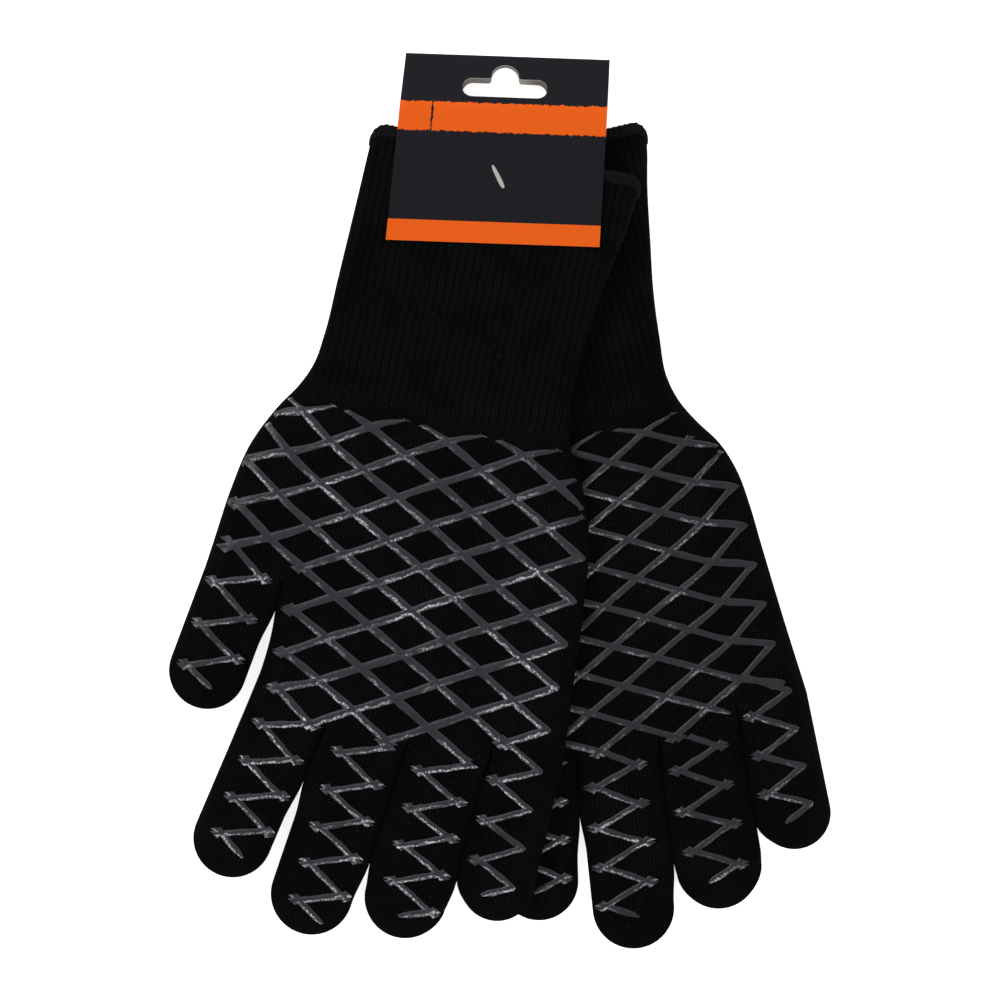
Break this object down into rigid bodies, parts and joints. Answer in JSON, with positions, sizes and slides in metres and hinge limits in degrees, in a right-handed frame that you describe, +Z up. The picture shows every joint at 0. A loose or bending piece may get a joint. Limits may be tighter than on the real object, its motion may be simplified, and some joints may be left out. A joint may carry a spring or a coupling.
{
  "type": "heat resistant glove",
  "caption": "Pair of long-cuffed knitted barbecue gloves with a silicone diamond grip print, fanned flat and pinned at the cuffs under a folded header card.",
  "frame": {"origin": "middle of the whole pair's box, at the table it lies on", "axes": "+Y from the fingers towards the cuffs and the card, +Z up from the table, +X away from the thumb side"},
  "size_m": [0.2555, 0.3454, 0.0239],
  "materials": {
    "knit": "black heat-resistant aramid knit with fine ribs",
    "liner": "grey cotton jersey",
    "hem": "black overlock edge",
    "silicone": "dark grey printed silicone, satin",
    "card": "charcoal printed card with orange bands, matt",
    "tag": "translucent white nylon"
  },
  "bodies": {
    "back_glove": {"back_cuff": "knit", "back_cuff_hem": "hem", "back_cuff_liner": "liner", "back_hand": "knit", "back_hand_liner": "liner", "back_hand_grip": "silicone", "back_hand_under_grip": "silicone", "back_thumb": "knit", "back_thumb_liner": "liner", "back_thumb_grip": "silicone", "back_thumb_under_grip": "silicone", "back_index": "knit", "back_index_liner": "liner", "back_index_grip": "silicone", "back_index_under_grip": "silicone"},
    "front_glove": {"front_cuff": "knit", "front_cuff_hem": "hem", "front_cuff_liner": "liner", "front_hand": "knit", "front_hand_liner": "liner", "front_hand_grip": "silicone", "front_hand_under_grip": "silicone"},
    "header": {"header_card": "card", "tag_pin": "tag"},
    "back_middle_finger": {"back_middle": "knit", "back_middle_liner": "liner", "back_middle_grip": "silicone", "back_middle_under_grip": "silicone"},
    "back_ring_finger": {"back_ring": "knit", "back_ring_liner": "liner", "back_ring_grip": "silicone", "back_ring_under_grip": "silicone"},
    "back_little_finger": {"back_little": "knit", "back_little_liner": "liner", "back_little_grip": "silicone", "back_little_under_grip": "silicone"},
    "front_thumb_finger": {"front_thumb": "knit", "front_thumb_liner": "liner", "front_thumb_grip": "silicone", "front_thumb_under_grip": "silicone"},
    "front_index_finger": {"front_index": "knit", "front_index_liner": "liner", "front_index_grip": "silicone", "front_index_under_grip": "silicone"},
    "front_middle_finger": {"front_middle": "knit", "front_middle_liner": "liner", "front_middle_grip": "silicone", "front_middle_under_grip": "silicone"},
    "front_ring_finger": {"front_ring": "knit", "front_ring_liner": "liner", "front_ring_grip": "silicone", "front_ring_under_grip": "silicone"},
    "front_little_finger": {"front_little": "knit", "front_little_liner": "liner", "front_little_grip": "silicone", "front_little_under_grip": "silicone"}
  },
  "joints": [
    {"name": "fan", "type": "hinge", "parent": "header", "child": "front_glove", "pos_m": [-0.00103, 0.12509, 0.018], "axis": [0, 0, -1], "range_deg": [-24, 8]},
    {"name": "card_swing", "type": "hinge", "parent": "back_glove", "child": "header", "pos_m": [-0.00103, 0.12509, 0.018], "axis": [0, 0, -1], "range_deg": [-4, 4]},
    {"name": "front_thumb_curl", "type": "hinge", "parent": "front_glove", "child": "front_thumb_finger", "pos_m": [-0.09958, -0.02924, 0.0239], "axis": [-0.9367, 0.3502, 0], "range_deg": [0, 60]},
    {"name": "front_index_curl", "type": "hinge", "parent": "front_glove", "child": "front_index_finger", "pos_m": [-0.08367, -0.08355, 0.0239], "axis": [-0.9198, 0.3923, 0], "range_deg": [0, 80]},
    {"name": "front_middle_curl", "type": "hinge", "parent": "front_glove", "child": "front_middle_finger", "pos_m": [-0.05273, -0.09194, 0.0239], "axis": [-0.9466, 0.3223, 0], "range_deg": [0, 80]},
    {"name": "front_ring_curl", "type": "hinge", "parent": "front_glove", "child": "front_ring_finger", "pos_m": [-0.02109, -0.09844, 0.0239], "axis": [-0.9603, 0.279, 0], "range_deg": [0, 80]},
    {"name": "front_little_curl", "type": "hinge", "parent": "front_glove", "child": "front_little_finger", "pos_m": [0.0105, -0.09676, 0.0239], "axis": [-0.9736, 0.2284, 0], "range_deg": [0, 80]},
    {"name": "back_middle_curl", "type": "hinge", "parent": "back_glove", "child": "back_middle_finger", "pos_m": [0.04519, -0.09825, 0.0118], "axis": [-0.9945, -0.1045, 0], "range_deg": [0, 80]},
    {"name": "back_ring_curl", "type": "hinge", "parent": "back_glove", "child": "back_ring_finger", "pos_m": [0.07664, -0.09088, 0.0118], "axis": [-0.9888, -0.1495, 0], "range_deg": [0, 80]},
    {"name": "back_little_curl", "type": "hinge", "parent": "back_glove", "child": "back_little_finger", "pos_m": [0.1046, -0.0761, 0.0118], "axis": [-0.9796, -0.2011, 0], "range_deg": [0, 80]}
  ]
}
